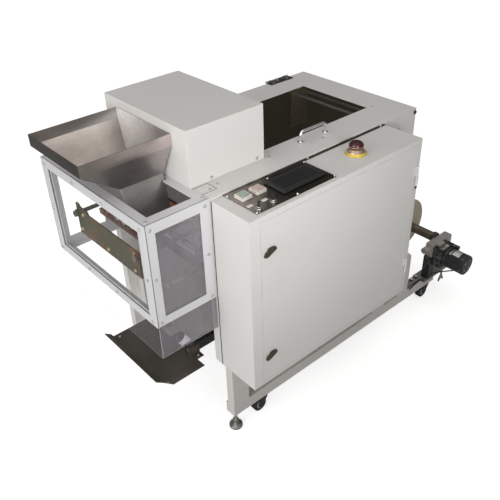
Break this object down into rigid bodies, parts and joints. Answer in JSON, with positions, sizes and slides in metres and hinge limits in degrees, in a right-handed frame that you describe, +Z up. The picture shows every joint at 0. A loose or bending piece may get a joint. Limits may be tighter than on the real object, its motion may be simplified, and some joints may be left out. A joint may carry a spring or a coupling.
{
  "type": "bagging machine",
  "caption": "Floor-standing roll-fed automatic bagging machine with a loading tray, guarded seal station, smoked lid, side control cabinet and rear film unwind",
  "frame": {"origin": "centre of the bounding box in plan, on the floor under the feet and casters", "axes": "+X towards the film unwind, +Y away from the operator's side, +Z up"},
  "size_m": [1.437, 0.6664, 1.014],
  "materials": {
    "white_paint": "powder coat, fine orange peel",
    "stainless": "brushed stainless sheet",
    "aluminium_strip": "satin anodised flat strip",
    "clear_sheet": "clear polycarbonate sheet",
    "smoked_sheet": "smoked acrylic sheet",
    "chrome": "bright chrome plate",
    "black_steel": "black oxide and black paint",
    "mirror_plate": "bright stainless plate",
    "black_plastic": "moulded black plastic",
    "screen_plastic": "dark moulded bezel",
    "ivory_plastic": "moulded plastic bezel",
    "green_lens": "translucent green lens",
    "red_lens": "translucent red lens",
    "yellow_plastic": "yellow moulded collar",
    "red_plastic": "red moulded head",
    "bronze_plate": "heat-tinted steel plate",
    "copper_bar": "machined copper alloy",
    "dark_plate": "dark brown paint",
    "roller_rubber": "ground rubber cover",
    "machined_aluminium": "milled aluminium block",
    "brown_tube": "dull brown steel tube",
    "tan_disc": "pressed fibre disc",
    "zinc": "zinc plated steel",
    "grey_electrics": "grey modules on a zinc plate",
    "wheel_rubber": "black wheel tread",
    "cable_rubber": "black cable jacket"
  },
  "bodies": {
    "frame": {"base_frame": "white_paint", "body_shell": "white_paint", "deck_plate": "white_paint", "hood": "white_paint", "cabinet_shell": "white_paint", "electrics_plate": "grey_electrics", "mains_inlet": "black_plastic", "control_plate": "mirror_plate", "touch_screen": "screen_plastic", "start_button_bezel": "ivory_plastic", "stop_button_bezel": "ivory_plastic", "estop_base": "yellow_plastic", "guard_front_frame": "aluminium_strip", "guard_near_frame": "aluminium_strip", "guard_far_frame": "aluminium_strip", "guard_angle_frame": "aluminium_strip", "guard_front_panel": "clear_sheet", "guard_near_panel": "clear_sheet", "guard_far_panel": "clear_sheet", "loading_tray": "stainless", "drop_chute": "stainless", "heater_bar": "copper_bar", "bag_back_plate": "white_paint", "film_guide_rods": "zinc", "shelf_arm": "black_steel", "unwind_bracket": "zinc", "unwind_housing": "machined_aluminium", "unwind_motor": "black_steel", "motor_lead": "cable_rubber"},
    "lid": {"lid_frame": "white_paint", "lid_window": "smoked_sheet", "lid_handle": "chrome", "lid_hinge_left": "black_steel", "lid_hinge_right": "black_steel"},
    "door": {"cabinet_door": "white_paint"},
    "latch_upper": {"door_latch_upper": "zinc"},
    "latch_lower": {"door_latch_lower": "zinc"},
    "start_cap": {"start_button": "green_lens"},
    "stop_cap": {"stop_button": "red_lens"},
    "toggle_left": {"toggle_bat_left": "black_plastic"},
    "toggle_right": {"toggle_bat_right": "black_plastic"},
    "estop_head": {"estop_button": "red_plastic"},
    "seal_jaw": {"seal_bar": "bronze_plate"},
    "shelf": {"bag_shelf": "dark_plate"},
    "spindle": {"unwind_spindle": "brown_tube", "roll_flange": "tan_disc"},
    "feed_lower": {"feed_roller_lower": "roller_rubber"},
    "feed_upper": {"feed_roller_upper": "roller_rubber"},
    "idler": {"guide_roller": "zinc"},
    "tension": {"tension_screw": "zinc"},
    "foot_near": {"levelling_foot_near": "zinc"},
    "foot_far": {"levelling_foot_far": "zinc"},
    "caster_front_near_fork_b": {"caster_front_near_fork": "black_steel"},
    "caster_front_near_wheel_b": {"caster_front_near_wheel": "wheel_rubber"},
    "caster_front_far_fork_b": {"caster_front_far_fork": "black_steel"},
    "caster_front_far_wheel_b": {"caster_front_far_wheel": "wheel_rubber"},
    "caster_rear_near_fork_b": {"caster_rear_near_fork": "black_steel"},
    "caster_rear_near_wheel_b": {"caster_rear_near_wheel": "wheel_rubber"},
    "caster_rear_far_fork_b": {"caster_rear_far_fork": "black_steel"},
    "caster_rear_far_wheel_b": {"caster_rear_far_wheel": "wheel_rubber"}
  },
  "joints": [
    {"name": "lid_hinge", "type": "hinge", "parent": "frame", "child": "lid", "pos_m": [0.0695, 0.30825, 0.8635], "axis": [-1, 0, 0], "range_deg": [0, 95]},
    {"name": "door_hinge", "type": "hinge", "parent": "frame", "child": "door", "pos_m": [0.1815, -0.32925, 0.574], "axis": [0, 0, 1], "range_deg": [0, 110]},
    {"name": "latch_upper_turn", "type": "hinge", "parent": "door", "child": "latch_upper", "pos_m": [-0.3985, -0.32475, 0.747], "axis": [0, -1, 0], "range_deg": [0, 90]},
    {"name": "latch_lower_turn", "type": "hinge", "parent": "door", "child": "latch_lower", "pos_m": [-0.3985, -0.32475, 0.41], "axis": [0, -1, 0], "range_deg": [0, 90]},
    {"name": "start_press", "type": "slide", "parent": "frame", "child": "start_cap", "axis": [0, 0, -1], "range_m": [0, 0.003], "stiffness_N_per_m": 300, "springref_m": -0.003},
    {"name": "stop_press", "type": "slide", "parent": "frame", "child": "stop_cap", "axis": [0, 0, -1], "range_m": [0, 0.003], "stiffness_N_per_m": 300, "springref_m": -0.003},
    {"name": "toggle_left_tilt", "type": "hinge", "parent": "frame", "child": "toggle_left", "pos_m": [-0.4025, -0.29625, 0.859], "axis": [1, 0, 0], "range_deg": [-12, 12]},
    {"name": "toggle_right_tilt", "type": "hinge", "parent": "frame", "child": "toggle_right", "pos_m": [-0.356, -0.29525, 0.859], "axis": [1, 0, 0], "range_deg": [-12, 12]},
    {"name": "estop_press", "type": "slide", "parent": "frame", "child": "estop_head", "axis": [0, 0, -1], "range_m": [0, 0.005], "stiffness_N_per_m": 500, "springref_m": -0.005},
    {"name": "seal_jaw_close", "type": "slide", "parent": "frame", "child": "seal_jaw", "axis": [1, 0, 0], "range_m": [0, 0.05]},
    {"name": "shelf_tilt", "type": "hinge", "parent": "frame", "child": "shelf", "pos_m": [-0.4505, -0.02475, 0.269], "axis": [0, 1, 0], "range_deg": [-12, 5]},
    {"name": "spindle_turn", "type": "hinge", "parent": "frame", "child": "spindle", "pos_m": [0.6135, -0.02475, 0.254], "axis": [0, 1, 0], "continuous": true},
    {"name": "feed_lower_turn", "type": "hinge", "parent": "frame", "child": "feed_lower", "pos_m": [-0.0185, 0.06175, 0.714], "axis": [0, 1, 0], "continuous": true},
    {"name": "feed_upper_turn", "type": "hinge", "parent": "frame", "child": "feed_upper", "pos_m": [-0.0185, 0.06175, 0.764], "axis": [0, 1, 0], "continuous": true},
    {"name": "idler_turn", "type": "hinge", "parent": "frame", "child": "idler", "pos_m": [-0.4785, 0.07325, 0.694], "axis": [0, 1, 0], "continuous": true},
    {"name": "tension_screw_turn", "type": "hinge", "parent": "frame", "child": "tension", "pos_m": [0.6665, -0.18275, 0.084], "axis": [0, 0, 1], "continuous": true},
    {"name": "foot_near_screw", "type": "slide", "parent": "frame", "child": "foot_near", "axis": [0, 0, -1], "range_m": [0, 0.02]},
    {"name": "foot_far_screw", "type": "slide", "parent": "frame", "child": "foot_far", "axis": [0, 0, -1], "range_m": [0, 0.02]},
    {"name": "caster_front_near_swivel", "type": "hinge", "parent": "frame", "child": "caster_front_near_fork_b", "pos_m": [-0.2945, -0.16275, 0.058], "axis": [0, 0, 1], "continuous": true},
    {"name": "caster_front_near_roll", "type": "hinge", "parent": "caster_front_near_fork_b", "child": "caster_front_near_wheel_b", "pos_m": [-0.3085, -0.16275, 0.025], "axis": [0, 1, 0], "continuous": true},
    {"name": "caster_front_far_swivel", "type": "hinge", "parent": "frame", "child": "caster_front_far_fork_b", "pos_m": [-0.2945, 0.28625, 0.058], "axis": [0, 0, 1], "continuous": true},
    {"name": "caster_front_far_roll", "type": "hinge", "parent": "caster_front_far_fork_b", "child": "caster_front_far_wheel_b", "pos_m": [-0.3085, 0.28625, 0.025], "axis": [0, 1, 0], "continuous": true},
    {"name": "caster_rear_near_swivel", "type": "hinge", "parent": "frame", "child": "caster_rear_near_fork_b", "pos_m": [0.5795, -0.16275, 0.058], "axis": [0, 0, 1], "continuous": true},
    {"name": "caster_rear_near_roll", "type": "hinge", "parent": "caster_rear_near_fork_b", "child": "caster_rear_near_wheel_b", "pos_m": [0.5655, -0.16275, 0.025], "axis": [0, 1, 0], "continuous": true},
    {"name": "caster_rear_far_swivel", "type": "hinge", "parent": "frame", "child": "caster_rear_far_fork_b", "pos_m": [0.5795, 0.28625, 0.058], "axis": [0, 0, 1], "continuous": true},
    {"name": "caster_rear_far_roll", "type": "hinge", "parent": "caster_rear_far_fork_b", "child": "caster_rear_far_wheel_b", "pos_m": [0.5655, 0.28625, 0.025], "axis": [0, 1, 0], "continuous": true}
  ],
  "couplings": [
    {"joint": "feed_upper_turn", "follows": "feed_lower_turn", "ratio": -1}
  ]
}
